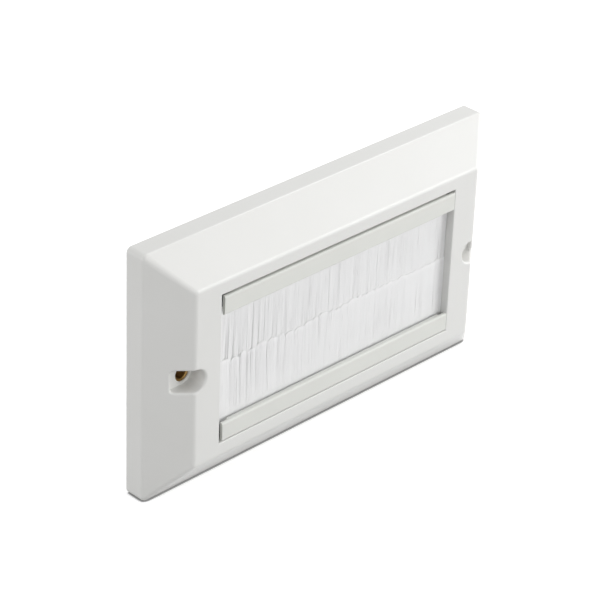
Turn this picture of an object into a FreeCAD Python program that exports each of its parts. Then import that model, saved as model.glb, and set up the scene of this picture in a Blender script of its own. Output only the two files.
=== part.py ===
# Two-gang brush cable entry faceplate: a bevelled moulded plate with a long aperture,
# closed by two strip brushes whose filaments meet in the middle.
# Frame: X along the plate, +Z up, +Y into the wall. The origin is the middle of the back plane,
# so the front face lies at y = -plate_depth.
import FreeCAD, Part
import Sketcher
import math
import os
from FreeCAD import Placement, Rotation, Vector

DIMENSIONS = (
    # moulded plate
    ("plate_length", 146.0, "overall length of a two-gang plate"),
    ("plate_height", 86.0, "overall height"),
    ("plate_depth", 17.2, "back plane to front face"),
    ("rim_depth", 6.9, "flat band round the edge"),
    ("bevel_side", 12.1, "inset of the front face at the two ends"),
    ("bevel_top", 12.4, "inset of the front face at the top and the bottom"),
    ("plate_corner", 1.8, "corner radius of the rim"),
    ("face_corner", 1.2, "corner radius of the front face"),
    ("rim_edge_round", 1.0, "rounding between rim and bevel"),
    ("face_edge_round", 2.0, "rounding between bevel and front face"),
    ("side_wall", 2.2, "thickness of the rim wall"),
    ("face_wall", 2.6, "thickness of the front face and of the bevels, along Y"),
    ("cavity_knee", 0.75, "the hollow turns this much behind the rim edge"),
    ("cavity_corner", 1.2, "corner radius of the hollow"),
    # aperture and collar
    ("end_border", 22.35, "from the plate's two ends to the aperture, which is 101.3 long"),
    ("side_border", 16.9, "from the plate's top and bottom to the aperture, which is 52.2 high"),
    ("aperture_edge_round", 0.4, "rounding of the aperture's front edge"),
    ("collar_wall", 2.0, "wall that runs back round the aperture"),
    ("collar_rear", 3.0, "gap from the back plane to the collar's rear edge"),
    ("ledge_reach", 2.2, "how far each holder ledge stands into the aperture"),
    ("ledge_thickness", 1.5, "ledge thickness along Y"),
    # screw recesses
    ("screw_inset", 12.7, "from the plate's end to the screw, which puts the two 120.6 apart"),
    ("recess_half_width", 3.8, "half the width of the U-shaped recess"),
    ("recess_outward", 5.7, "from the screw axis to the recess's outer wall"),
    ("recess_floor", 10.6, "height of the recess floor over the back plane"),
    ("recess_corner", 1.0, "corner radius at the recess's outer wall"),
    ("recess_lip_round", 0.7, "rounding of the recess's lip"),
    ("recess_wall", 1.6, "wall round and under the recess"),
    ("boss_radius", 5.0, "screw boss"),
    # brass bushes
    ("bush_radius", 2.75, "outside of the brass bush"),
    ("bush_bore", 2.1, "bore radius, clears an M3.5 screw"),
    ("bush_sink", 0.4, "the bush ends this far under the recess floor"),
    ("bush_groove", 0.35, "depth of the groove that locks the bush in the plastic"),
    ("bush_collar", 2.6, "length of the bush in front of its groove, and behind it"),
    ("bush_chamfer", 0.3, "chamfer of the bore's two mouths"),
    ("bush_fit", 0.03, "radial gap between bush and boss"),
    # ribs
    ("rib_thickness", 1.4, "stiffening rib"),
    ("rib_rear", 5.0, "gap from the back plane to the ribs' rear edges"),
    ("rib_inset", 4.15, "from the aperture's end to the outer of the ribs over and under it"),
    # brush holders
    ("bar_height", 6.5, "holder bar, seen height"),
    ("bar_depth", 8.5, "holder bar along Y, its front flush with the face"),
    ("bar_play", 0.55, "gap between bar and aperture wall with the bar centred"),
    ("bar_drop", 0.4, "both bars hang this much lower in their play"),
    ("bar_end_gap", 0.65, "gap at each end of a bar with the bar centred"),
    ("bar_slide", 0.55, "both bars are pushed this much to the right in their play"),
    ("bar_skin", 1.0, "thickness of the front skin that runs on to the bar's two ends"),
    ("bar_relief", 3.0, "behind the skin the bar is cut back this much at its ends"),
    ("bar_base_wall", 1.6, "wall behind the brush strip"),
    ("bar_front_lip", 1.7, "front lip of the bar"),
    ("bar_rear_lip", 1.5, "rear lip of the bar"),
    ("bar_edge_round", 0.7, "rounding of the bar's two front edges"),
    ("hook_width", 8.0, "snap hook along X"),
    ("hook_inset", 14.0, "from the bar's end to the middle of an outer snap hook"),
    ("hook_arm", 1.5, "thickness of a hook's arm"),
    ("hook_play", 0.6, "gap between a hook's arm and the ledge, with the bar centred"),
    ("hook_catch", 1.1, "how far the barb reaches over the ledge, with the bar centred"),
    ("hook_barb", 1.6, "barb length along Y"),
    ("seat_gap", 0.05, "gap between ledge and bar, and between ledge and barb"),
    # strip brushes
    ("strip_setback", 2.2, "from the bar's front to the strip's front"),
    ("strip_width", 4.3, "outside width of the folded metal strip"),
    ("strip_height", 3.05, "outside height of the folded metal strip"),
    ("strip_sheet", 0.5, "sheet thickness of the strip"),
    ("strip_fit", 0.05, "gap between strip and holder, and strip and filaments"),
    ("strip_end_gap", 0.75, "the strip ends this far inside the bar's ends"),
    ("core_wire_radius", 0.6, "wire that the filaments are folded round"),
    ("fold_thickness", 0.4, "filaments between the wire and the strip's web"),
    ("tuft_pitch", 2.0, "width of one tuft of filaments at its root"),
    ("tuft_parting", 0.34, "width of the gap between two tufts at their tips"),
    ("tuft_root", 1.0, "the tufts part this far under the strip"),
    ("tip_thickness", 1.3, "thickness of a curtain at its tips, along Y"),
    ("upper_crossing", 2.4, "the upper tips reach this far past the middle"),
    ("lower_crossing", 0.9, "the lower tips reach this far past the middle"),
    ("tip_scatter", 0.8, "how much the tuft lengths differ"),
    ("lean_scatter", 0.13, "how far a tuft's tip leans to one side"),
    ("end_splay", 0.5, "the end tufts lean out by this much"),
)

BOOLEAN_OVERRUN = 1.0  # cutting bodies run past the faces they cut by this much
TOUCH = 0.01  # places closer than this are the same place
HOOK_PLACES = (-1, 0, 1)
RIB_PLACES = (-1.5, -0.5, 0.5, 1.5)
ENDS = (("left", -1), ("right", 1))

doc = FreeCAD.newDocument("brush_entry_faceplate")
sheet = doc.addObject("Spreadsheet::Sheet", "Dim")
for row, (alias, size, meaning) in enumerate(DIMENSIONS, start=1):
    sheet.set(f"A{row}", alias)
    sheet.set(f"B{row}", str(size))
    sheet.setAlias(f"B{row}", alias)
    sheet.set(f"C{row}", meaning)
doc.recompute()

# Levels and edges that several pieces share, as expressions of the sheet.
# "Height" is measured from the back plane towards the viewer, so y = -height.
FACE_LENGTH = "(Dim.plate_length - 2 * Dim.bevel_side)"
FACE_HEIGHT = "(Dim.plate_height - 2 * Dim.bevel_top)"
APERTURE_LENGTH = "(Dim.plate_length - 2 * Dim.end_border)"
APERTURE_HEIGHT = "(Dim.plate_height - 2 * Dim.side_border)"
SCREW_REACH = "(Dim.plate_length / 2 - Dim.screw_inset)"
RIB_PITCH = f"(({APERTURE_LENGTH} - 2 * Dim.rib_inset) / {len(RIB_PLACES) - 1})"
LEDGE_FRONT = "(Dim.plate_depth - Dim.bar_depth - Dim.seat_gap)"
LEDGE_REAR = f"({LEDGE_FRONT} - Dim.ledge_thickness)"
LEDGE_EDGE = f"({APERTURE_HEIGHT} / 2 - Dim.ledge_reach)"
BAR_TOP = f"({APERTURE_HEIGHT} / 2 - Dim.bar_play)"
BAR_LENGTH = f"({APERTURE_LENGTH} - 2 * Dim.bar_end_gap)"
HOOK_PITCH = f"({BAR_LENGTH} / 2 - Dim.hook_inset)"
BAR_FRONT = "(-Dim.plate_depth)"
BAR_REAR = f"({BAR_FRONT} + Dim.bar_depth)"
STRIP_FRONT = f"({BAR_FRONT} + Dim.strip_setback)"
STRIP_REAR = f"({STRIP_FRONT} + Dim.strip_width)"
SEAT_TOP = f"({BAR_TOP} - Dim.bar_base_wall)"
STRIP_TOP = f"({SEAT_TOP} - Dim.strip_fit)"
STRIP_MOUTH = f"({STRIP_TOP} - Dim.strip_height)"
STRIP_LENGTH = f"({BAR_LENGTH} - 2 * Dim.strip_end_gap)"
FOLD_TOP = f"({STRIP_TOP} - Dim.strip_sheet - Dim.strip_fit)"
WIRE_LEVEL = f"({FOLD_TOP} - Dim.fold_thickness - Dim.strip_fit - Dim.core_wire_radius)"


def number(expression):
    value = sheet.evalExpression(expression)
    return float(getattr(value, "Value", value))


def add_body(name):
    body = doc.addObject("PartDesign::Body", name)
    body.Label = name
    return body


def add_sketch(body, name, plane="XZ_Plane", offset=None):
    # The sketch lies on one of the body's origin planes, moved along its normal by an expression.
    sketch = body.newObject("Sketcher::SketchObject", name)
    origin_plane = [item for item in body.Origin.OriginFeatures if item.Role == plane][0]
    sketch.AttachmentSupport = [(origin_plane, "")]
    sketch.MapMode = "FlatFace"
    if offset is not None:
        sketch.setExpression("AttachmentOffset.Base.z", offset)
    doc.recompute()
    return sketch


def pin_point(sketch, geometry, end, x, y):
    # Fixes one point of a sketch by its two coordinates, given as expressions.
    for kind, expression, axis in (("DistanceX", x, -2), ("DistanceY", y, -1)):
        value = number(expression)
        if expression == "0":
            sketch.addConstraint(Sketcher.Constraint("PointOnObject", geometry, end, axis))
            continue
        index = sketch.addConstraint(Sketcher.Constraint(kind, -1, 1, geometry, end, value))
        sketch.setExpression(f"Constraints[{index}]", expression)


def draw_polygon(sketch, points):
    # A closed outline of straight lines through points given as pairs of expressions.
    places = [Vector(number(x), number(y), 0) for x, y in points]
    first = sketch.GeometryCount
    count = len(points)
    for i in range(count):
        sketch.addGeometry(Part.LineSegment(places[i], places[(i + 1) % count]), False)
    for i in range(count):
        following = first + (i + 1) % count
        sketch.addConstraint(Sketcher.Constraint("Coincident", first + i, 2, following, 1))
    for i, (x, y) in enumerate(points):
        pin_point(sketch, first + i, 1, x, y)


def draw_rectangle(sketch, left, right, low, high):
    draw_polygon(sketch, ((left, low), (right, low), (right, high), (left, high)))


def draw_centred_rectangle(sketch, length, height):
    draw_rectangle(sketch, f"-{length} / 2", f"{length} / 2", f"-{height} / 2", f"{height} / 2")


def draw_rounded_rectangle(sketch, length, height, radius):
    # A centred rectangle with four equal corner arcs.
    a = number(length) / 2
    b = number(height) / 2
    r = number(radius)
    lines = (((r - a, -b), (a - r, -b)), ((a, r - b), (a, b - r)),
             ((a - r, b), (r - a, b)), ((-a, b - r), (-a, r - b)))
    for start, end in lines:
        sketch.addGeometry(Part.LineSegment(Vector(*start, 0), Vector(*end, 0)), False)
    centres = ((a - r, r - b), (a - r, b - r), (r - a, b - r), (r - a, r - b))
    for quarter, centre in enumerate(centres):
        circle = Part.Circle(Vector(*centre, 0), Vector(0, 0, 1), r)
        start_angle = (quarter - 1) * math.pi / 2
        sketch.addGeometry(Part.ArcOfCircle(circle, start_angle, start_angle + math.pi / 2), False)
    for side in range(4):
        sketch.addConstraint(Sketcher.Constraint("Tangent", side, 2, side + 4, 1))
        sketch.addConstraint(Sketcher.Constraint("Tangent", side + 4, 2, (side + 1) % 4, 1))
    for corner in range(4, 7):
        sketch.addConstraint(Sketcher.Constraint("Equal", corner, corner + 1))
    sketch.addConstraint(Sketcher.Constraint("Symmetric", 0, 1, 0, 2, -2))
    sketch.addConstraint(Sketcher.Constraint("Symmetric", 1, 1, 1, 2, -1))
    sketch.addConstraint(Sketcher.Constraint("Horizontal", 2))
    sketch.addConstraint(Sketcher.Constraint("Vertical", 3))
    for constraint, expression in ((("DistanceX", 3, 1, 1, 1, 2 * a), length),
                                   (("DistanceY", 0, 1, 2, 1, 2 * b), height),
                                   (("Radius", 4, r), radius)):
        index = sketch.addConstraint(Sketcher.Constraint(*constraint))
        sketch.setExpression(f"Constraints[{index}]", expression)


def draw_circle(sketch, x, y, radius):
    centre = Vector(number(x), number(y), 0)
    index = sketch.addGeometry(Part.Circle(centre, Vector(0, 0, 1), number(radius)), False)
    pin_point(sketch, index, 3, x, y)
    constraint = sketch.addConstraint(Sketcher.Constraint("Radius", index, number(radius)))
    sketch.setExpression(f"Constraints[{constraint}]", radius)


def draw_recess_outline(sketch, side, half_width, outward, corner):
    # A U lying on its side: half round towards the aperture, straight towards the plate's end,
    # with two small corner arcs at its outer wall. side is -1 at the left and 1 at the right.
    axis_x = number(SCREW_REACH) * side
    r = number(half_width)
    c = number(corner)
    wall_x = axis_x + side * number(outward)
    corner_x = wall_x - side * c
    first = sketch.GeometryCount

    def line(x0, y0, x1, y1):
        sketch.addGeometry(Part.LineSegment(Vector(x0, y0, 0), Vector(x1, y1, 0)), False)

    def arc(x, y, radius, start, end):
        circle = Part.Circle(Vector(x, y, 0), Vector(0, 0, 1), radius)
        sketch.addGeometry(Part.ArcOfCircle(circle, start, end), False)

    quarter = math.pi / 2
    turn = 0 if side > 0 else math.pi
    # Counter-clockwise for both ends, seen from the front.
    arc(axis_x, 0, r, turn + quarter, turn + 3 * quarter)
    line(axis_x, -side * r, corner_x, -side * r)
    arc(corner_x, side * (c - r), c, turn - quarter, turn)
    line(wall_x, side * (c - r), wall_x, side * (r - c))
    arc(corner_x, side * (r - c), c, turn, turn + quarter)
    line(corner_x, side * r, axis_x, side * r)
    for i in range(6):
        following = first + (i + 1) % 6
        sketch.addConstraint(Sketcher.Constraint("Tangent", first + i, 2, following, 1))
    sketch.addConstraint(Sketcher.Constraint("Horizontal", first + 1))
    sketch.addConstraint(Sketcher.Constraint("Vertical", first + 3))
    sketch.addConstraint(Sketcher.Constraint("Equal", first + 2, first + 4))
    pin_point(sketch, first, 3, f"{side} * {SCREW_REACH}", "0")
    for constraint, expression in ((("Radius", first, r), half_width),
                                   (("Radius", first + 2, c), corner)):
        index = sketch.addConstraint(Sketcher.Constraint(*constraint))
        sketch.setExpression(f"Constraints[{index}]", expression)
    index = sketch.addConstraint(Sketcher.Constraint("DistanceX", -1, 1, first + 3, 1, wall_x))
    sketch.setExpression(f"Constraints[{index}]", f"{side} * ({SCREW_REACH} + {outward})")


def add_pad(body, name, sketch, length, midplane=False):
    pad = body.newObject("PartDesign::Pad", name)
    pad.Profile = sketch
    pad.Midplane = midplane
    pad.setExpression("Length", length)
    doc.recompute()
    return pad


def add_pocket(body, name, sketch, length=None):
    # Cuts from the sketch towards the back of the plate, through everything without a length.
    before = body.Shape.Volume
    pocket = body.newObject("PartDesign::Pocket", name)
    pocket.Profile = sketch
    if length is None:
        pocket.Type = "ThroughAll"
    else:
        pocket.setExpression("Length", length)
    doc.recompute()
    if body.Shape.Volume >= before:
        raise RuntimeError(f"{name} cuts nothing")
    return pocket


def add_loft(body, name, rear_sketch, front_sketch):
    loft = body.newObject("PartDesign::AdditiveLoft", name)
    loft.Profile = rear_sketch
    loft.Sections = [front_sketch]
    loft.Ruled = True
    doc.recompute()
    return loft


def edges_where(shape, test):
    return [f"Edge{i}" for i, edge in enumerate(shape.Edges, start=1) if test(edge)]


def add_fillet(body, name, test, radius):
    base = body.Tip
    fillet = body.newObject("PartDesign::Fillet", name)
    fillet.Base = (base, edges_where(base.Shape, test))
    fillet.setExpression("Radius", radius)
    doc.recompute()
    return fillet


def spans_y(edge, low, high):
    box = edge.BoundBox
    return box.YMin > low and box.YMax < high


def on_height(edge, height):
    # True for an edge that lies in the plane at this height over the back.
    return spans_y(edge, -height - TOUCH, -height + TOUCH)


# The hollow behind the plate, as the steel core that shapes it: what is cut out of this core
# stays as plastic, which is how the collar, the recess housings, the bosses and the ribs appear.
def make_core():
    core = add_body("hollow_core")
    front = "Dim.plate_depth - Dim.face_wall"
    knee = "(Dim.rim_depth - Dim.cavity_knee)"
    inner_length = "(Dim.plate_length - 2 * Dim.side_wall)"
    inner_height = "(Dim.plate_height - 2 * Dim.side_wall)"
    back = add_sketch(core, "core_back", offset=f"-{BOOLEAN_OVERRUN}")
    draw_rounded_rectangle(back, inner_length, inner_height, "Dim.cavity_corner")
    add_pad(core, "core_rim", back, f"{knee} + {BOOLEAN_OVERRUN}")
    knee_sketch = add_sketch(core, "core_knee", offset=knee)
    draw_rounded_rectangle(knee_sketch, inner_length, inner_height, "Dim.cavity_corner")
    face_sketch = add_sketch(core, "core_face", offset=front)
    draw_rounded_rectangle(face_sketch, FACE_LENGTH, FACE_HEIGHT, "Dim.face_corner")
    add_loft(core, "core_bevel", knee_sketch, face_sketch)

    collar = add_sketch(core, "collar_slot", offset=front)
    draw_centred_rectangle(collar, f"({APERTURE_LENGTH} + 2 * Dim.collar_wall)",
                           f"({APERTURE_HEIGHT} + 2 * Dim.collar_wall)")
    draw_centred_rectangle(collar, APERTURE_LENGTH, APERTURE_HEIGHT)
    add_pocket(core, "collar_room", collar, f"{front} - Dim.collar_rear")

    housing = add_sketch(core, "housing_slots", offset=front)
    for _, side in ENDS:
        draw_recess_outline(housing, side, "(Dim.recess_half_width + Dim.recess_wall)",
                            "(Dim.recess_outward + Dim.recess_wall)", "Dim.recess_corner")
    add_pocket(core, "housing_room", housing, f"{front} - (Dim.recess_floor - Dim.recess_wall)")

    boss = add_sketch(core, "boss_holes", offset=front)
    for _, side in ENDS:
        draw_circle(boss, f"{side} * {SCREW_REACH}", "0", "Dim.boss_radius")
    add_pocket(core, "boss_room", boss)

    ribs = add_sketch(core, "rib_slots", offset=front)
    collar_top = f"({APERTURE_HEIGHT} / 2 + Dim.collar_wall - Dim.rib_thickness / 2)"
    rim_inside = "(Dim.plate_height / 2 - Dim.side_wall / 2)"
    for place in RIB_PLACES:
        left = f"{place} * {RIB_PITCH} - Dim.rib_thickness / 2"
        right = f"{place} * {RIB_PITCH} + Dim.rib_thickness / 2"
        draw_rectangle(ribs, left, right, collar_top, rim_inside)
        draw_rectangle(ribs, left, right, f"-{rim_inside}", f"-{collar_top}")
    collar_end = f"({APERTURE_LENGTH} / 2 + Dim.collar_wall - Dim.rib_thickness / 2)"
    rim_end = "(Dim.plate_length / 2 - Dim.side_wall / 2)"
    low = "-Dim.rib_thickness / 2"
    high = "Dim.rib_thickness / 2"
    draw_rectangle(ribs, collar_end, rim_end, low, high)
    draw_rectangle(ribs, f"-{rim_end}", f"-{collar_end}", low, high)
    add_pocket(core, "rib_room", ribs, f"{front} - Dim.rib_rear")
    return core


def add_ledges(plate):
    # Two ledges inside the collar: the holders rest on their front and hook over their rear.
    sketch = add_sketch(plate, "ledge_outline", offset=LEDGE_REAR)
    end = f"({APERTURE_LENGTH} / 2 + Dim.collar_wall / 2)"
    root = f"({APERTURE_HEIGHT} / 2 + Dim.collar_wall / 2)"
    draw_rectangle(sketch, f"-{end}", end, LEDGE_EDGE, root)
    draw_rectangle(sketch, f"-{end}", end, f"-{root}", f"-{LEDGE_EDGE}")
    add_pad(plate, "ledges", sketch, "Dim.ledge_thickness")


def make_faceplate(core):
    plate = add_body("faceplate")
    rim = add_sketch(plate, "rim_outline")
    draw_rounded_rectangle(rim, "Dim.plate_length", "Dim.plate_height", "Dim.plate_corner")
    add_pad(plate, "rim", rim, "Dim.rim_depth")
    knee = add_sketch(plate, "bevel_foot", offset="Dim.rim_depth")
    draw_rounded_rectangle(knee, "Dim.plate_length", "Dim.plate_height", "Dim.plate_corner")
    face = add_sketch(plate, "face_outline", offset="Dim.plate_depth")
    draw_rounded_rectangle(face, FACE_LENGTH, FACE_HEIGHT, "Dim.face_corner")
    add_loft(plate, "bevels", knee, face)
    rim_depth = number("Dim.rim_depth")
    plate_depth = number("Dim.plate_depth")
    add_fillet(plate, "rim_edge", lambda edge: on_height(edge, rim_depth), "Dim.rim_edge_round")
    add_fillet(plate, "face_edge", lambda edge: on_height(edge, plate_depth), "Dim.face_edge_round")

    hollow = plate.newObject("PartDesign::Boolean", "hollow")
    hollow.Type = "Cut"
    hollow.setObjects([core])
    doc.recompute()

    front = f"Dim.plate_depth + {BOOLEAN_OVERRUN}"
    aperture = add_sketch(plate, "aperture_outline", offset=front)
    draw_centred_rectangle(aperture, APERTURE_LENGTH, APERTURE_HEIGHT)
    add_pocket(plate, "aperture", aperture, f"Dim.face_wall + 2 * {BOOLEAN_OVERRUN}")
    add_ledges(plate)
    recess = add_sketch(plate, "recess_outline", offset=front)
    for _, side in ENDS:
        draw_recess_outline(recess, side, "Dim.recess_half_width", "Dim.recess_outward",
                            "Dim.recess_corner")
    add_pocket(plate, "recesses", recess,
               f"Dim.plate_depth - Dim.recess_floor + {BOOLEAN_OVERRUN}")
    round_recess_lips(plate)
    round_aperture(plate)
    bores = add_sketch(plate, "bush_seats", offset=front)
    for _, side in ENDS:
        draw_circle(bores, f"{side} * {SCREW_REACH}", "0", "(Dim.bush_radius + Dim.bush_fit)")
    add_pocket(plate, "bush_bores", bores)
    return plate


def round_recess_lips(plate):
    # The lip is every edge of a recess that lies in the outer surface, above its vertical walls.
    axis_x = number(SCREW_REACH)
    inner = axis_x - number("Dim.recess_half_width")
    outer = axis_x + number("Dim.recess_outward")
    half = number("Dim.recess_half_width")
    floor = number("Dim.recess_floor")

    def is_lip(edge):
        box = edge.BoundBox
        ends = sorted((abs(box.XMin), abs(box.XMax)))
        inside = ends[0] > inner - TOUCH and ends[1] < outer + TOUCH
        level = abs(box.ZMin) < half + TOUCH and abs(box.ZMax) < half + TOUCH
        over_floor = box.YMax < -floor - TOUCH
        upright = box.XLength < TOUCH and box.ZLength < TOUCH
        return inside and level and over_floor and not upright

    add_fillet(plate, "recess_lips", is_lip, "Dim.recess_lip_round")


def round_aperture(plate):
    half_length = number(f"{APERTURE_LENGTH} / 2")
    half_height = number(f"{APERTURE_HEIGHT} / 2")
    plate_depth = number("Dim.plate_depth")

    def is_aperture_edge(edge):
        box = edge.BoundBox
        inside = box.XMax < half_length + TOUCH and box.XMin > -half_length - TOUCH
        return inside and on_height(edge, plate_depth) and box.ZMax < half_height + TOUCH

    add_fillet(plate, "aperture_edge", is_aperture_edge, "Dim.aperture_edge_round")


# Brass bush: a turned tube with a locking groove round its middle, moulded into the boss.
def make_bush(name, side):
    bush = add_body(name)
    sketch = add_sketch(bush, f"{name}_section", plane="XY_Plane")
    end = "(Dim.recess_floor - Dim.bush_sink)"
    bore = "Dim.bush_bore"
    wall = "Dim.bush_radius"
    flare = "(Dim.bush_bore + Dim.bush_chamfer)"
    groove = "(Dim.bush_radius - Dim.bush_groove)"
    groove_rear = "-Dim.bush_collar"
    groove_front = f"Dim.bush_collar - {end}"
    draw_polygon(sketch, (
        (flare, "0"), (wall, "0"), (wall, groove_rear), (groove, groove_rear),
        (groove, groove_front), (wall, groove_front), (wall, f"-{end}"), (flare, f"-{end}"),
        (bore, f"Dim.bush_chamfer - {end}"), (bore, "-Dim.bush_chamfer")))
    turned = bush.newObject("PartDesign::Revolution", f"{name}_turning")
    turned.Profile = sketch
    turned.ReferenceAxis = (sketch, ["V_Axis"])
    turned.Angle = 360
    bush.setExpression("Placement.Base.x", f"{side} * {SCREW_REACH}")
    doc.recompute()
    return bush


def place_brush_piece(piece, is_upper):
    # Every brush piece is drawn as the upper one. The lower one is turned half round about Y,
    # and both sit lower and further right by the play that they have taken up.
    if not is_upper:
        piece.Placement = Placement(Vector(0, 0, 0), Rotation(Vector(0, 1, 0), 180))
    piece.setExpression("Placement.Base.x", "Dim.bar_slide")
    piece.setExpression("Placement.Base.z", "-Dim.bar_drop")


# Holder bar: a flat front skin, and behind it an inverted channel with a narrow seat for the strip,
# a wider mouth, and snap hooks.
def make_holder(name, is_upper):
    bar = add_body(name)
    bottom = f"({BAR_TOP} - Dim.bar_height)"
    skin_rear = f"({BAR_FRONT} + Dim.bar_skin)"
    skin = add_sketch(bar, f"{name}_skin_outline", plane="YZ_Plane")
    draw_rectangle(skin, BAR_FRONT, skin_rear, bottom, BAR_TOP)
    add_pad(bar, f"{name}_skin", skin, BAR_LENGTH, midplane=True)
    section = add_sketch(bar, f"{name}_section", plane="YZ_Plane")
    mouth_front = f"{BAR_FRONT} + Dim.bar_front_lip"
    mouth_rear = f"{BAR_REAR} - Dim.bar_rear_lip"
    seat_front = f"{STRIP_FRONT} - Dim.strip_fit"
    seat_rear = f"{STRIP_REAR} + Dim.strip_fit"
    draw_polygon(section, (
        (skin_rear, BAR_TOP), (skin_rear, bottom), (mouth_front, bottom), (mouth_front, STRIP_MOUTH),
        (seat_front, STRIP_MOUTH), (seat_front, SEAT_TOP), (seat_rear, SEAT_TOP),
        (seat_rear, STRIP_MOUTH), (mouth_rear, STRIP_MOUTH), (mouth_rear, bottom),
        (BAR_REAR, bottom), (BAR_REAR, BAR_TOP)))
    add_pad(bar, f"{name}_bar", section, f"{BAR_LENGTH} - 2 * Dim.bar_relief", midplane=True)
    front = number(BAR_FRONT)

    def is_front_edge(edge):
        return on_height(edge, -front) and edge.BoundBox.XLength > TOUCH

    add_fillet(bar, f"{name}_edges", is_front_edge, "Dim.bar_edge_round")
    for place in HOOK_PLACES:
        add_hook(bar, name, place)
    place_brush_piece(bar, is_upper)
    return bar


def add_hook(bar, name, place):
    sketch = add_sketch(bar, f"{name}_hook_{place + 2}", plane="YZ_Plane",
                        offset=f"{place} * {HOOK_PITCH}")
    root = f"{BAR_REAR} - Dim.bar_rear_lip / 2"
    catch = f"Dim.seat_gap - {LEDGE_REAR}"
    end = f"Dim.seat_gap - {LEDGE_REAR} + Dim.hook_barb"
    arm_top = f"{LEDGE_EDGE} - Dim.hook_play"
    arm_low = f"{LEDGE_EDGE} - Dim.hook_play - Dim.hook_arm"
    barb_top = f"{LEDGE_EDGE} + Dim.hook_catch"
    draw_polygon(sketch, ((root, arm_low), (end, arm_low), (end, arm_top), (catch, barb_top),
                          (catch, arm_top), (root, arm_top)))
    add_pad(bar, f"{name}_hook_pad_{place + 2}", sketch, "Dim.hook_width", midplane=True)


# Folded metal strip: a channel of thin sheet, open towards the middle of the aperture.
def make_strip(name, is_upper):
    strip = add_body(name)
    sketch = add_sketch(strip, f"{name}_section", plane="YZ_Plane")
    inner_front = f"{STRIP_FRONT} + Dim.strip_sheet"
    inner_rear = f"{STRIP_REAR} - Dim.strip_sheet"
    inner_top = f"{STRIP_TOP} - Dim.strip_sheet"
    draw_polygon(sketch, (
        (STRIP_FRONT, STRIP_TOP), (STRIP_FRONT, STRIP_MOUTH), (inner_front, STRIP_MOUTH),
        (inner_front, inner_top), (inner_rear, inner_top), (inner_rear, STRIP_MOUTH),
        (STRIP_REAR, STRIP_MOUTH), (STRIP_REAR, STRIP_TOP)))
    add_pad(strip, f"{name}_fold", sketch, STRIP_LENGTH, midplane=True)
    place_brush_piece(strip, is_upper)
    return strip


def make_core_wire(name, is_upper):
    wire = add_body(name)
    sketch = add_sketch(wire, f"{name}_section", plane="YZ_Plane")
    draw_circle(sketch, f"({STRIP_FRONT} + Dim.strip_width / 2)", WIRE_LEVEL, "Dim.core_wire_radius")
    add_pad(wire, f"{name}_run", sketch, STRIP_LENGTH, midplane=True)
    place_brush_piece(wire, is_upper)
    return wire


def scatter(index, seed):
    # A repeatable uneven number from -1 to 1 for each tuft. The factors are large and share no
    # common measure, so that the numbers of neighbouring tufts have nothing to do with each other.
    wave = math.sin(index * 12.9898 + seed * 78.233) * 43758.5453
    return 2 * (wave - math.floor(wave)) - 1


def prism(points, direction):
    return Part.Face(Part.makePolygon(points + points[:1])).extrude(direction)


def comb_outline(edges, root, tip_level, seed):
    # One row of tufts seen from the front. They hang from the root level, part from each
    # other towards their tips, lean out near the two ends, and differ in length.
    half_parting = number("Dim.tuft_parting / 2")
    valley = root - number("Dim.tuft_root")
    points = [(edges[0], root)]
    for i, (left, right) in enumerate(zip(edges, edges[1:])):
        outward = (left + right) / (edges[-1] - edges[0])
        lean = outward ** 3 * number("Dim.end_splay") + scatter(i, seed) * number("Dim.lean_scatter")
        tip = tip_level + scatter(i, seed + 10) * number("Dim.tip_scatter")
        points += [(left + half_parting + lean, tip), (right - half_parting + lean, tip)]
        points.append((right, valley))
    points[-1] = (edges[-1], root)
    return points


# Curtain of filaments: a block folded round the core wire inside the strip, and two rows of
# tufts under it. The rear row is shifted by half a tuft, so that no gap runs through both.
# The lower curtain keeps to the front and the upper one to the back, so their tips pass.
def make_curtain(name, is_upper):
    gap = number("Dim.strip_fit")
    front = number(f"{STRIP_FRONT} + Dim.strip_sheet") + gap
    rear = number(f"{STRIP_REAR} - Dim.strip_sheet") - gap
    mouth = number(STRIP_MOUTH)
    length = number(STRIP_LENGTH)
    tip_thickness = number("Dim.tip_thickness")
    drop = number("Dim.bar_drop")
    if is_upper:
        tip_level = drop - number("Dim.upper_crossing")
        tip_front = rear - tip_thickness
    else:
        tip_level = -drop - number("Dim.lower_crossing")
        tip_front = front
    lowest = tip_level - number("Dim.tip_scatter")
    count = max(2, round(length / number("Dim.tuft_pitch")))
    pitch = length / count
    front_edges = [i * pitch - length / 2 for i in range(count + 1)]
    rear_edges = [front_edges[0]] + [x - pitch / 2 for x in front_edges[1:]] + [front_edges[-1]]
    rows = []
    for row, edges in enumerate((front_edges, rear_edges)):
        seed = row + (3 if is_upper else 5)
        outline = comb_outline(edges, mouth, tip_level, seed)
        comb = prism([Vector(x, front - BOOLEAN_OVERRUN, z) for x, z in outline],
                     Vector(0, rear - front + 2 * BOOLEAN_OVERRUN, 0))
        root_front = front + row * (rear - front) / 2
        root_rear = front + (row + 1) * (rear - front) / 2
        end_front = tip_front + row * tip_thickness / 2
        end_rear = tip_front + (row + 1) * tip_thickness / 2
        reach = length / 2 + number("Dim.end_splay") + BOOLEAN_OVERRUN
        wedge = prism([Vector(-reach, root_front, mouth), Vector(-reach, root_rear, mouth),
                       Vector(-reach, end_rear, lowest), Vector(-reach, end_front, lowest)],
                      Vector(2 * reach, 0, 0))
        rows.append(comb.common(wedge))
    block = Part.makeBox(length, rear - front, number(FOLD_TOP) - mouth, Vector(-length / 2, front, mouth))
    wire = Part.makeCylinder(number("Dim.core_wire_radius") + gap, length,
                             Vector(-length / 2, (front + rear) / 2, number(WIRE_LEVEL)), Vector(1, 0, 0))
    curtain = doc.addObject("Part::Feature", name)
    curtain.Label = name
    curtain.Shape = block.cut(wire).fuse(rows).removeSplitter()
    place_brush_piece(curtain, is_upper)
    return curtain


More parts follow.
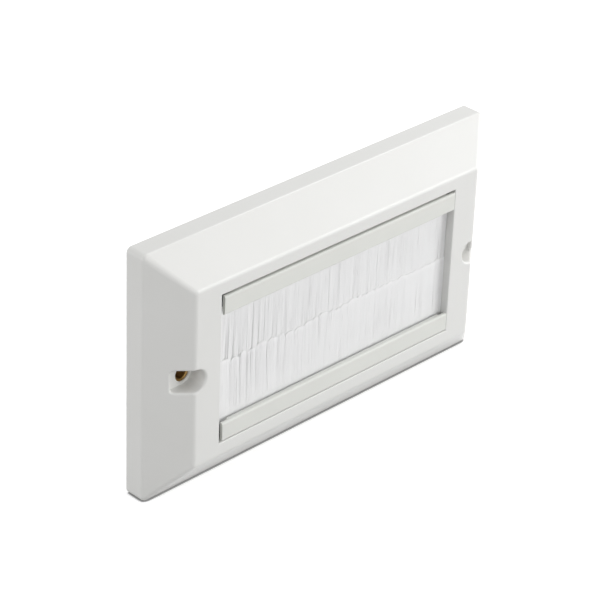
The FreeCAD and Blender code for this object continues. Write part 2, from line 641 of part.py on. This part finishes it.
def check_and_write(pieces):
    doc.recompute()
    for item in doc.Objects:
        if "Invalid" in item.State or "Error" in item.State:
            raise RuntimeError(f"{item.Label} failed: {item.State}")
    for piece in pieces:
        if piece.Shape.isNull() or not piece.Shape.isValid():
            raise RuntimeError(f"{piece.Label} has no valid shape")
        if len(piece.Shape.Solids) != 1:
            raise RuntimeError(f"{piece.Label} has {len(piece.Shape.Solids)} solids")
    os.makedirs("parts", exist_ok=True)
    for piece in pieces:
        piece.Shape.exportStep(os.path.join("parts", f"{piece.Label}.step"))
        box = piece.Shape.BoundBox
        print(f"{piece.Label}: {piece.Shape.Volume:.1f} mm3, "
              f"{box.XLength:.2f} x {box.YLength:.2f} x {box.ZLength:.2f} mm")


pieces = [make_faceplate(make_core())]
for end_name, end_side in ENDS:
    pieces.append(make_bush(f"{end_name}_screw_bush", end_side))
for set_name, upper in (("upper", True), ("lower", False)):
    pieces.append(make_holder(f"{set_name}_brush_holder", upper))
    pieces.append(make_strip(f"{set_name}_brush_strip", upper))
    pieces.append(make_core_wire(f"{set_name}_core_wire", upper))
    pieces.append(make_curtain(f"{set_name}_bristles", upper))
check_and_write(pieces)
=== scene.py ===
import math
import random

import bpy
from mathutils import Matrix, Vector, noise


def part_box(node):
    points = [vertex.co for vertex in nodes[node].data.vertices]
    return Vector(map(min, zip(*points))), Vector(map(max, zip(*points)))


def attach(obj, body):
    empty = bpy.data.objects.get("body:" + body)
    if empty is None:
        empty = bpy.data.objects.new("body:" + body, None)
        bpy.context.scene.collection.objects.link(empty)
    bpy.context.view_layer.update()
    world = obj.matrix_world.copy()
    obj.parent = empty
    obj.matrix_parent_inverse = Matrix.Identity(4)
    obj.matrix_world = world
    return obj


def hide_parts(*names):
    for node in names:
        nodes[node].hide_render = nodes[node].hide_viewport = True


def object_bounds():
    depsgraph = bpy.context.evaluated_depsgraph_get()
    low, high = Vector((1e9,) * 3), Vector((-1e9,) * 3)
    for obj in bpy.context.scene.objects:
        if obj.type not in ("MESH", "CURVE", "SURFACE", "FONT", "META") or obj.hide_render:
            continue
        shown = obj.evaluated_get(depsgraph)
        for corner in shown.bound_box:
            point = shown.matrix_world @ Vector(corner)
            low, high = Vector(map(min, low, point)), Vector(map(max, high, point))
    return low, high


# A white brush cable entry faceplate, standing on its lower edge on a pale floor.
# Everything is in metres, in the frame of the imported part: X along the plate, +Z up, +Y into the wall.

mm = 0.001

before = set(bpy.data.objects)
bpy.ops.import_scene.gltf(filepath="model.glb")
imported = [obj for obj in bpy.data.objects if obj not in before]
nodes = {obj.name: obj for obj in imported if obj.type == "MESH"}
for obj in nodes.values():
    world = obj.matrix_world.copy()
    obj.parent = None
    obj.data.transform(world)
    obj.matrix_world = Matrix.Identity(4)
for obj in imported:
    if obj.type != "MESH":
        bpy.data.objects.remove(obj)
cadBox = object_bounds()
print("frame loaded:", len(nodes), "nodes")


# Shader helpers

def hexColour(code):
    # sRGB hex to the linear values that the shaders take
    parts = [int(code[i:i + 2], 16) / 255 for i in (1, 3, 5)]
    linear = [p / 12.92 if p <= 0.04045 else ((p + 0.055) / 1.055) ** 2.4 for p in parts]
    return (*linear, 1.0)


def addNode(tree, kind, settings=None, inputs=None):
    # one node, its own settings, and its inputs: a socket is linked, anything else is set
    node = tree.nodes.new(kind)
    for name, value in (settings or {}).items():
        setattr(node, name, value)
    for name, value in (inputs or {}).items():
        if isinstance(value, bpy.types.NodeSocket):
            tree.links.new(value, node.inputs[name])
        else:
            node.inputs[name].default_value = value
    return node


def newMaterial(name):
    # an empty material: its node tree, its output, and the piece's own coordinates in metres
    material = bpy.data.materials.new(name)
    material.use_nodes = True
    tree = material.node_tree
    tree.nodes.clear()
    output = addNode(tree, "ShaderNodeOutputMaterial")
    place = addNode(tree, "ShaderNodeTexCoord").outputs["Object"]
    return material, tree, output, place


mixFactor, mixA, mixB, mixResult = 0, 6, 7, 2   # the colour sockets of Blender's Mix node


# Moulded urea resin, for the plate: a hard, even white with soft-edged highlights. The polish of
# the mould leaves a faint waviness in the gloss, and handling leaves slightly duller patches.
ureaLook = {
    "colour": "#e8e8e6",
    "deepColour": "#e4e4e1",   # the greyer clouds of the filler
    "cloudSize": 18 * mm,
    "roughness": (0.32, 0.41),
    "patchSize": 9 * mm,
    "grainSize": 0.9 * mm,     # the real texture is near 0.1 mm, drawn coarser so that it shows
    "grainDepth": 0.006 * mm,
    "ior": 1.5,
}

# Moulded ABS, for the holder bars: warmer and more satin than the plate.
absLook = {
    "colour": "#e3e4df",
    "deepColour": "#dedfda",
    "cloudSize": 12 * mm,
    "roughness": (0.42, 0.52),
    "patchSize": 6 * mm,
    "grainSize": 0.7 * mm,     # spark-eroded mould texture of about 0.05 mm, drawn coarser
    "grainDepth": 0.008 * mm,
    "ior": 1.53,
}


def makeMoulded(name, look):
    material, tree, output, place = newMaterial(name)
    clouds = addNode(tree, "ShaderNodeTexNoise", None,
                     {"Vector": place, "Scale": 1 / look["cloudSize"], "Detail": 2.0})
    tone = addNode(tree, "ShaderNodeMix", {"data_type": "RGBA"},
                   {mixFactor: clouds.outputs["Fac"], mixA: hexColour(look["colour"]),
                    mixB: hexColour(look["deepColour"])})
    patches = addNode(tree, "ShaderNodeTexNoise", None,
                      {"Vector": place, "Scale": 1 / look["patchSize"], "Detail": 4.0})
    gloss = addNode(tree, "ShaderNodeMapRange", None,
                    {"Value": patches.outputs["Fac"], "To Min": look["roughness"][0],
                     "To Max": look["roughness"][1]})
    grain = addNode(tree, "ShaderNodeTexNoise", None,
                    {"Vector": place, "Scale": 1 / look["grainSize"], "Detail": 3.0})
    bump = addNode(tree, "ShaderNodeBump", None,
                   {"Height": grain.outputs["Fac"], "Distance": look["grainDepth"]})
    plastic = addNode(tree, "ShaderNodeBsdfPrincipled", None,
                      {"Base Color": tone.outputs[mixResult], "Roughness": gloss.outputs["Result"],
                       "IOR": look["ior"], "Normal": bump.outputs["Normal"]})
    tree.links.new(plastic.outputs["BSDF"], output.inputs["Surface"])
    return material


# Turned brass, for the bushes: fine rings from the tool across the faces and the bore.
brassLook = {
    "colour": "#9a7c4c",       # painted shade: darker than clean brass, as the hole in the photograph is
    "roughness": (0.42, 0.56),
    "patchSize": 1.2 * mm,
    "ringPitch": 0.25 * mm,    # a real turning mark is about 0.08 mm, drawn coarser so that it shows
    "ringDepth": 0.01 * mm,
    "ringWander": 0.6,         # how uneven the rings are
}
waveRingScale = 0.3142         # the wave texture's scale times the distance between its rings

# Zinc-plated sheet steel, for the folded strips, and drawn steel, for the core wires: a cool grey
# with long rolling or drawing marks along X.
zincLook = {
    "colour": "#b9bcc0",
    "roughness": (0.3, 0.46),
    "markWidth": 0.2 * mm,
    "markDepth": 0.006 * mm,
}
wireLook = {
    "colour": "#a9acb0",
    "roughness": (0.28, 0.4),
    "markWidth": 0.12 * mm,
    "markDepth": 0.005 * mm,
}
markStretch = 40               # a mark is this many times longer than it is wide


def makeTurned(name, look, axisX):
    # rings round the axis of each bush, as waves along the axis and outwards from it
    material, tree, output, place = newMaterial(name)
    fromAxis = addNode(tree, "ShaderNodeVectorMath", {"operation": "SUBTRACT"},
                       {0: place, 1: (axisX, 0.0, 0.0)})
    rings = addNode(tree, "ShaderNodeTexWave", {"wave_type": "RINGS", "rings_direction": "Y"},
                    {"Vector": fromAxis.outputs["Vector"], "Scale": waveRingScale / look["ringPitch"],
                     "Distortion": look["ringWander"], "Detail": 1.0})
    wear = addNode(tree, "ShaderNodeTexNoise", None,
                   {"Vector": place, "Scale": 1 / look["patchSize"]})
    gloss = addNode(tree, "ShaderNodeMapRange", None,
                    {"Value": wear.outputs["Fac"], "To Min": look["roughness"][0],
                     "To Max": look["roughness"][1]})
    bump = addNode(tree, "ShaderNodeBump", None,
                   {"Height": rings.outputs["Fac"], "Distance": look["ringDepth"]})
    metal = addNode(tree, "ShaderNodeBsdfPrincipled", None,
                    {"Base Color": hexColour(look["colour"]), "Metallic": 1.0,
                     "Roughness": gloss.outputs["Result"], "Normal": bump.outputs["Normal"]})
    tree.links.new(metal.outputs["BSDF"], output.inputs["Surface"])
    return material


def makeDrawnSteel(name, look):
    material, tree, output, place = newMaterial(name)
    along = addNode(tree, "ShaderNodeVectorMath", {"operation": "MULTIPLY"},
                    {0: place, 1: (1 / markStretch, 1.0, 1.0)})
    marks = addNode(tree, "ShaderNodeTexNoise", None,
                    {"Vector": along.outputs["Vector"], "Scale": 1 / look["markWidth"], "Detail": 2.0})
    gloss = addNode(tree, "ShaderNodeMapRange", None,
                    {"Value": marks.outputs["Fac"], "To Min": look["roughness"][0],
                     "To Max": look["roughness"][1]})
    bump = addNode(tree, "ShaderNodeBump", None,
                   {"Height": marks.outputs["Fac"], "Distance": look["markDepth"]})
    metal = addNode(tree, "ShaderNodeBsdfPrincipled", None,
                    {"Base Color": hexColour(look["colour"]), "Metallic": 1.0,
                     "Roughness": gloss.outputs["Result"], "Normal": bump.outputs["Normal"]})
    tree.links.new(metal.outputs["BSDF"], output.inputs["Surface"])
    return material


# Drawn nylon filament: translucent white with a cool cast. Each filament carries its own tone,
# because some catch more light through the bundle than others, and its cut end is painted lighter: a
# painted glow.
nylonLook = {
    "colour": "#ffffff",
    "roughness": 0.42,
    "ior": 1.53,
    "drawMark": 0.5 * mm,      # the die leaves marks near 0.02 mm, drawn coarser so that they show
    "drawStretch": 12,         # a mark is this many times longer than it is wide
    "drawDepth": 0.004 * mm,
    "glow": 0.03,              # share of the light that comes through from behind
}


def makeNylon(name, look):
    material, tree, output, place = newMaterial(name)
    tone = addNode(tree, "ShaderNodeVertexColor", {"layer_name": "tone"}).outputs["Color"]
    tinted = addNode(tree, "ShaderNodeMix", {"data_type": "RGBA", "blend_type": "MULTIPLY"},
                     {mixFactor: 1.0, mixA: tone, mixB: hexColour(look["colour"])})
    along = addNode(tree, "ShaderNodeVectorMath", {"operation": "MULTIPLY"},
                    {0: place, 1: (1.0, 1.0, 1 / look["drawStretch"])})
    marks = addNode(tree, "ShaderNodeTexNoise", None,
                    {"Vector": along.outputs["Vector"], "Scale": 1 / look["drawMark"]})
    bump = addNode(tree, "ShaderNodeBump", None,
                   {"Height": marks.outputs["Fac"], "Distance": look["drawDepth"]})
    nylon = addNode(tree, "ShaderNodeBsdfPrincipled", None,
                    {"Base Color": tinted.outputs[mixResult], "Roughness": look["roughness"],
                     "IOR": look["ior"], "Normal": bump.outputs["Normal"]})
    through = addNode(tree, "ShaderNodeBsdfTranslucent", None, {"Color": tinted.outputs[mixResult]})
    both = addNode(tree, "ShaderNodeMixShader", None,
                   {0: look["glow"], 1: nylon.outputs["BSDF"], 2: through.outputs["BSDF"]})
    tree.links.new(both.outputs["Shader"], output.inputs["Surface"])
    return material


plateUrea = makeMoulded("mouldedUrea", ureaLook)
holderAbs = makeMoulded("mouldedAbs", absLook)
zinc = makeDrawnSteel("zincPlatedSteel", zincLook)
wireSteel = makeDrawnSteel("drawnSteelWire", wireLook)
nylon = makeNylon("drawnNylon", nylonLook)
print("materials made")


# Solids that show as they are, in the materials of their slots

def dress(nodeName, material):
    piece = nodes[nodeName]
    piece.data.materials.clear()
    piece.data.materials.append(material)
    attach(piece, "root")


dress("faceplate", plateUrea)
for side in ("left", "right"):
    bushName = side + "_screw_bush"
    low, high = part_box(bushName)
    dress(bushName, makeTurned(side + "TurnedBrass", brassLook, (low.x + high.x) / 2))
for place in ("upper", "lower"):
    dress(place + "_brush_holder", holderAbs)
    dress(place + "_brush_strip", zinc)
    dress(place + "_core_wire", wireSteel)
print("solids dressed")


# The two curtains of filaments. Each filament is a thin three-sided tube that starts inside the
# folded strip. Filaments lean together in bundles, which part near the tips.
curtainLook = {
    "diameter": 0.18 * mm,
    "frontFacing": -150,           # turn in degrees that lays one flat of a tube to the front
    "rearFacing": 30,
    "frontShare": 0.75,            # share of the rows that face the front
    "turn": 5,                     # degrees by which the filaments are turned about themselves
    "spacing": 0.158 * mm,         # between neighbours in one row
    "rows": 12,                    # rows from front to back
    "crowding": 2.0,               # the front rows stand closer together than the rear ones
    "jitter": 0.12,                # share of the spacing by which a root is out of its place
    "rootInside": 1.2 * mm,        # how far up into the strip a filament starts
    "ringPlaces": (0.0, 0.45, 0.93, 1.0),   # points along one filament, from root to tip
    "bundlePitch": 2.4 * mm,       # mean width of a bundle
    "bundleWidths": (0.55, 1.5),   # the narrowest and the widest beside that
    "wideBundles": 0.6,            # share by which the left end's bundles are wider
    "bundleLean": 0.1 * mm,        # how far a bundle's tip leans sideways
    "bundlePinch": 0.02,           # share by which a bundle narrows at its tip
    "bundleRound": 0.9 * mm,       # how much shorter a bundle is at its edges
    "bundleEdge": 0.32 * mm,       # how far a bundle's edges stand back at its tip
    "edgeFade": 5,                 # and how fast that fades towards the right
    "bundleDepth": 0.06 * mm,      # how far a bundle stands forward or back at its tip
    "depthStart": 0.2,             # the front row already has some of it
    "bundleLength": 0.7 * mm,      # how far a bundle is longer or shorter
    "ownLean": 0.1 * mm,           # each filament's own lean
    "ownLength": 0.45 * mm,        # each filament's own difference in length
    "bulge": 0.8 * mm,             # the end filaments swell past the strip's ends by this much
    "splay": 0.3 * mm,             # and lean out by this much more at their tips
    "splayPower": 5,               # and the lean fades this fast towards the middle
    "bend": 1.7,                   # a filament leans mostly near its tip
    "bow": 0.06 * mm,              # how far a filament's middle is out of line
    "waveHeight": 0.8 * mm,        # slow rise and fall of the line of tips
    "waveLength": 14 * mm,
    "calmEnd": 0.35,               # how much of the unevenness is left at the right end
    "rearCalm": 0.8,               # share by which the rearmost filaments part less than the front ones
    "tipTaper": 0.75,              # share of the thickness left at the cut end
    "toneRange": (0.925, 0.95),    # the darkest and the lightest filament
    "bundleTone": 0.55,            # share of a filament's tone that it has from its bundle
    "paintedTipGlow": 1.0,                # painted glow: the cut end is painted lighter, for light that runs along a filament and leaves there
    "cool": 0.002,                 # how much bluer than grey the tone is
    "barToWall": 0.1 * mm,         # from the bars' right end to the aperture's right wall
    "wallGap": 0.06 * mm,          # what the outermost tips keep clear of the aperture's wall
}

# Where each curtain's tips are, and partings that show in it: place along the plate, how far the
# filaments are pushed to either side, and how wide a stretch feels it.
upperLook = {
    "tip": -1.9 * mm,
    "sign": -1,
    "seed": 11,
    "frontTip": 0.2 * mm,          # how far behind the root's front the tips' front is
    "tipThickness": 1.6 * mm,
    "partings": ((-45.0 * mm, 0.16 * mm, 2.0 * mm), (-22.0 * mm, 0.14 * mm, 3.0 * mm),
                 (47.3 * mm, 0.25 * mm, 2.2 * mm)),
}
lowerLook = {
    "tip": 0.7 * mm,
    "sign": 1,
    "seed": 23,
    "frontTip": 0.0 * mm,
    "tipThickness": 0.25 * mm,
    "partings": ((-42.0 * mm, 0.22 * mm, 1.8 * mm), (-35.5 * mm, 0.2 * mm, 1.8 * mm),
                 (-26.0 * mm, 0.16 * mm, 2.0 * mm), (-13.4 * mm, 0.12 * mm, 2.0 * mm),
                 (-3.0 * mm, 0.08 * mm, 2.5 * mm)),
}


def smoothStep(t):
    t = min(1.0, max(0.0, t))
    return t * t * (3 - 2 * t)


def unevenness(look, share):
    # full at the left end, and less towards the right
    return 1 - (1 - look["calmEnd"]) * smoothStep(share)


def pushApart(x, partings):
    # how far the partings push a tip sideways
    total = 0
    for middle, push, reach in partings:
        away = (x - middle) / reach
        total += math.copysign(push, away) * math.exp(-away * away)
    return total


def makeBundles(dice, low, high, look):
    # the bundles along one curtain, each with its middle, lean, set-back, length and tone
    bundles = []
    x = low
    while x < high:
        share = (x - low) / (high - low)
        width = look["bundlePitch"] * dice.uniform(*look["bundleWidths"])
        width *= 1 + look["wideBundles"] * (1 - share)
        uneven = unevenness(look, share)
        bundles.append({
            "start": x,
            "middle": x + width / 2,
            "lean": dice.gauss(0, 1) * look["bundleLean"] * uneven,
            "depth": dice.uniform(-1, 1) * look["bundleDepth"],
            "length": dice.uniform(-1, 1) * look["bundleLength"] * uneven,
            "pinch": look["bundlePinch"] * uneven,
            "tone": dice.uniform(0, 1),
        })
        x += width
    return bundles


def addTube(points, radii, spin, vertices, faces):
    # a three-sided tube through the points, closed at its tip, where the last radius is small
    first = len(vertices)
    for point, radius in zip(points, radii):
        for side in range(3):
            turn = spin + side * 2 * math.pi / 3
            across = radius * math.cos(turn)
            along = radius * math.sin(turn)
            vertices.append((point[0] + across, point[1] + along, point[2]))
    for ring in range(len(points) - 1):
        a = first + 3 * ring
        for side in range(3):
            b = (side + 1) % 3
            faces.append((a + side, a + b, a + 3 + b, a + 3 + side))
    last = first + 3 * (len(points) - 1)
    faces.append((last, last + 1, last + 2))


def growCurtain(name, cadName, look, own):
    dice = random.Random(own["seed"])
    low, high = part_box(cadName)
    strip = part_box(cadName.replace("bristles", "brush_strip"))
    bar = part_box(cadName.replace("bristles", "brush_holder"))
    wallX = bar[1].x + look["barToWall"] - look["wallGap"]
    sign = own["sign"]
    # the strip's mouth is its lower face above, and its upper face below
    mouth = strip[1].z if sign > 0 else strip[0].z
    rootZ = mouth - sign * look["rootInside"]
    rootLow = strip[0].x - look["bulge"]
    rootHigh = strip[1].x + look["bulge"]
    rootFront = low.y + look["diameter"] / 2
    rootRear = high.y - look["diameter"] / 2
    tipFront = rootFront + own["frontTip"]
    tipRear = tipFront + own["tipThickness"]
    bundles = makeBundles(dice, rootLow, rootHigh, look)
    vertices, faces, tonesAndPaintedGlow = [], [], []
    columns = int((rootHigh - rootLow) / look["spacing"])
    for index in range(columns * look["rows"]):
        row, column = divmod(index, columns)
        place = column + 0.5 * (row % 2) + dice.uniform(-1, 1) * look["jitter"]
        share = min(1.0, max(0.0, place / columns))
        x = rootLow + share * (rootHigh - rootLow)
        bundle = [b for b in bundles if b["start"] <= x][-1]
        uneven = unevenness(look, share)
        inward = row / (look["rows"] - 1)
        backward = inward ** look["crowding"]
        y = rootFront + backward * (rootRear - rootFront)
        outward = 2 * share - 1
        shift = bundle["lean"] + (bundle["middle"] - x) * bundle["pinch"]
        shift += dice.gauss(0, 1) * look["ownLean"] * uneven
        shift += outward ** look["splayPower"] * look["splay"]
        shift += pushApart(x, own["partings"]) * (1 - look["rearCalm"] * inward)
        tipX = max(-wallX, min(wallX, x + shift))
        wave = look["waveHeight"] * uneven * noise.noise(Vector((x / look["waveLength"], own["seed"], 0)))
        fromMiddle = (x - bundle["middle"]) / (bundle["middle"] - bundle["start"])
        shorter = abs(dice.gauss(0, 1)) * look["ownLength"] + fromMiddle ** 2 * look["bundleRound"]
        tipZ = own["tip"] + sign * (bundle["length"] + wave - shorter * uneven)
        tipY = tipFront + backward * (tipRear - tipFront)
        tipY += bundle["depth"] * smoothStep(inward + look["depthStart"])
        tipY += fromMiddle ** 4 * look["bundleEdge"] * uneven ** look["edgeFade"]
        tipY = min(max(tipY, low.y + look["diameter"] / 2), high.y - look["diameter"] / 2)
        bow = dice.gauss(0, 1) * look["bow"]
        points, radii = [], []
        for t in look["ringPlaces"]:
            bend = t ** look["bend"]
            points.append((x + (tipX - x) * bend + bow * math.sin(math.pi * t),
                           y + (tipY - y) * t,
                           rootZ + (tipZ - rootZ) * t))
            radii.append(look["diameter"] / 2 * (1 if t < 1 else look["tipTaper"]))
        # a flat of the tube looks out of the curtain, as the light side of a round one does
        facing = look["frontFacing"] if inward < look["frontShare"] else look["rearFacing"]
        spin = math.radians(facing + dice.gauss(0, 1) * look["turn"])
        addTube(points, radii, spin, vertices, faces)
        fromBundle = look["bundleTone"]
        lightness = fromBundle * bundle["tone"] + (1 - fromBundle) * dice.random()
        darkest, lightest = look["toneRange"]
        body = darkest + (lightest - darkest) * lightness
        # the tip ring takes the painted glow, so each filament is painted lighter towards its cut end
        for grey in [body] * (len(points) - 1) + [look["paintedTipGlow"]]:
            tonesAndPaintedGlow += [(grey - look["cool"], grey - look["cool"] / 2, grey, 1.0)] * 3
    mesh = bpy.data.meshes.new(name)
    mesh.from_pydata(vertices, [], faces)
    if sign < 0:
        mesh.flip_normals()        # a tube that grows downwards comes out with its faces turned in
    layer = mesh.color_attributes.new(name="tone", type="FLOAT_COLOR", domain="POINT")
    layer.data.foreach_set("color", [channel for tone in tonesAndPaintedGlow for channel in tone])
    mesh.shade_flat()              # rounded shading on three sides would darken them
    mesh.materials.append(nylon)
    piece = bpy.data.objects.new(name, mesh)
    bpy.context.scene.collection.objects.link(piece)
    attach(piece, "root")
    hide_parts(cadName)
    print(name, len(vertices), "points", len(faces), "faces")
    return piece


growCurtain("upperFilaments", "upper_bristles", curtainLook, upperLook)
growCurtain("lowerFilaments", "lower_bristles", curtainLook, lowerLook)


# Floor and world: a white studio sweep. The paper is white to the camera and in reflections, and
# greyer for the light that it throws up on the plate's underside.
studioLook = {
    "paper": "#ffffff",
    "paperBounce": "#9a9a9a",
    "paperLift": 0.4,              # brings the lit paper to plain white, as a cut-out background is
    "fibreSize": 2 * mm,
    "fibreDepth": 0.01 * mm,
    "paintedShadowReach": 1.0 * mm,       # painted contact shadow: a dark line painted on the paper where the plate stands on it
    "paintedShadowRange": (0.4, 0.85),    # openness at which the painted shadow is darkest, and at which it ends
    "paintedShadowTone": 0.25,
    "fillLevel": 0.52,             # the light from all sides
    "floorSize": 6.0,
}


def seenDirectly(tree):
    # 1 for what the camera, a reflection or a see-through piece looks at, and 0 for stray light
    path = addNode(tree, "ShaderNodeLightPath")
    seen = addNode(tree, "ShaderNodeMath", {"operation": "ADD", "use_clamp": True},
                   {0: path.outputs["Is Camera Ray"], 1: path.outputs["Is Glossy Ray"]})
    return addNode(tree, "ShaderNodeMath", {"operation": "ADD", "use_clamp": True},
                   {0: seen.outputs["Value"], 1: path.outputs["Is Transmission Ray"]}).outputs["Value"]


def makeFloor(look):
    material, tree, output, place = newMaterial("whitePaper")
    seen = seenDirectly(tree)
    fibres = addNode(tree, "ShaderNodeTexNoise", None,
                     {"Vector": place, "Scale": 1 / look["fibreSize"]})
    bump = addNode(tree, "ShaderNodeBump", None,
                   {"Height": fibres.outputs["Fac"], "Distance": look["fibreDepth"]})
    # painted contact shadow: the paper's colour is darkened where ambient occlusion finds the plate close
    # by
    openness = addNode(tree, "ShaderNodeAmbientOcclusion", {"samples": 16},
                       {"Distance": look["paintedShadowReach"]}).outputs["AO"]
    closed, clear = look["paintedShadowRange"]
    paintedContactShadow = addNode(tree, "ShaderNodeMapRange", None,
                     {"Value": openness, "From Min": closed, "From Max": clear,
                      "To Min": look["paintedShadowTone"], "To Max": 1.0}).outputs["Result"]
    shown = addNode(tree, "ShaderNodeMix", {"data_type": "RGBA", "blend_type": "MULTIPLY"},
                    {mixFactor: 1.0, mixA: hexColour(look["paper"]), mixB: paintedContactShadow}).outputs[mixResult]
    colour = addNode(tree, "ShaderNodeMix", {"data_type": "RGBA"},
                     {mixFactor: seen, mixA: hexColour(look["paperBounce"]), mixB: shown})
    paper = addNode(tree, "ShaderNodeBsdfDiffuse", None,
                    {"Color": colour.outputs[mixResult], "Normal": bump.outputs["Normal"]})
    lift = addNode(tree, "ShaderNodeMath", {"operation": "MULTIPLY"}, {0: seen, 1: look["paperLift"]})
    white = addNode(tree, "ShaderNodeEmission", None,
                    {"Color": shown, "Strength": lift.outputs["Value"]})
    both = addNode(tree, "ShaderNodeAddShader", None,
                   {0: paper.outputs["BSDF"], 1: white.outputs["Emission"]})
    tree.links.new(both.outputs["Shader"], output.inputs["Surface"])
    half = look["floorSize"] / 2
    level = cadBox[0].z
    mesh = bpy.data.meshes.new("floor")
    corners = [(-half, -half, level), (half, -half, level), (half, half, level), (-half, half, level)]
    mesh.from_pydata(corners, [], [(0, 1, 2, 3)])
    mesh.materials.append(material)
    floor = bpy.data.objects.new("floor", mesh)
    bpy.context.scene.collection.objects.link(floor)


def makeWorld(look):
    world = bpy.data.worlds.new("studio")
    world.use_nodes = True
    tree = world.node_tree
    tree.nodes.clear()
    output = addNode(tree, "ShaderNodeOutputWorld")
    fill = addNode(tree, "ShaderNodeBackground", None,
                   {"Color": hexColour(look["paper"]), "Strength": look["fillLevel"]})
    white = addNode(tree, "ShaderNodeBackground", None,
                    {"Color": hexColour(look["paper"]), "Strength": 1.0})
    both = addNode(tree, "ShaderNodeMixShader", None,
                   {0: seenDirectly(tree), 1: fill.outputs["Background"],
                    2: white.outputs["Background"]})
    tree.links.new(both.outputs["Shader"], output.inputs["Surface"])
    bpy.context.scene.world = world


makeFloor(studioLook)
makeWorld(studioLook)
print("studio made")


# Lamps: soft boxes round the plate, each aimed at its middle. The two large ones light it, and the
# two small ones give its rounded edges their fine highlights.
lamps = {
    "leftSoftbox": {"from": (-1.3, 0.35, 0.25), "size": 0.9, "watts": 6.7},
    "rightSoftbox": {"from": (1.0, -0.9, 0.1), "size": 0.9, "watts": 14.4},
    "topSoftbox": {"from": (0.42, 0.03, 0.54), "size": 0.2, "watts": 1.27},
    "frontSoftbox": {"from": (-0.05, -0.86, 0.25), "size": 0.4, "watts": 1.2},
}


def makeLamp(name, look):
    data = bpy.data.lights.new(name, "AREA")
    data.shape = "SQUARE"
    data.size = look["size"]
    data.energy = look["watts"]
    lamp = bpy.data.objects.new(name, data)
    lamp.location = look["from"]
    lamp.rotation_euler = (-Vector(look["from"])).to_track_quat("-Z", "Y").to_euler()
    bpy.context.scene.collection.objects.link(lamp)


for name, look in lamps.items():
    makeLamp(name, look)


# Camera, at the photograph's viewpoint
cameraLook = {
    "azimuth": -45.69,             # degrees round the plate from straight in front
    "elevation": 30.345,
    "roll": 2.351,
    "distance": 808.956 * mm,
    "target": (1.348 * mm, 0.0, -4.557 * mm),
    "focalPixels": 2557.386,       # for an image 608 pixels wide
    "imagePixels": 608,
    "sensor": 36.0,
    "clipStart": 10 * mm,
}


def makeCamera(look):
    azimuth = math.radians(look["azimuth"])
    elevation = math.radians(look["elevation"])
    roll = math.radians(look["roll"])
    level = math.cos(elevation)
    back = Vector((math.sin(azimuth) * level, -math.cos(azimuth) * level, math.sin(elevation)))
    right = Vector((math.cos(azimuth), math.sin(azimuth), 0))
    up = back.cross(right)
    rolledRight = math.cos(roll) * right + math.sin(roll) * up
    rolledUp = math.cos(roll) * up - math.sin(roll) * right
    data = bpy.data.cameras.new("camera")
    data.sensor_width = look["sensor"]
    data.lens = look["focalPixels"] * look["sensor"] / look["imagePixels"]
    data.clip_start = look["clipStart"]
    camera = bpy.data.objects.new("camera", data)
    place = Matrix.Translation(Vector(look["target"]) + back * look["distance"])
    turn = Matrix((rolledRight, rolledUp, back)).transposed().to_4x4()
    camera.matrix_world = place @ turn
    bpy.context.scene.collection.objects.link(camera)
    bpy.context.scene.camera = camera


makeCamera(cameraLook)
bpy.context.scene.view_settings.view_transform = "Standard"
print("lamps and camera placed")
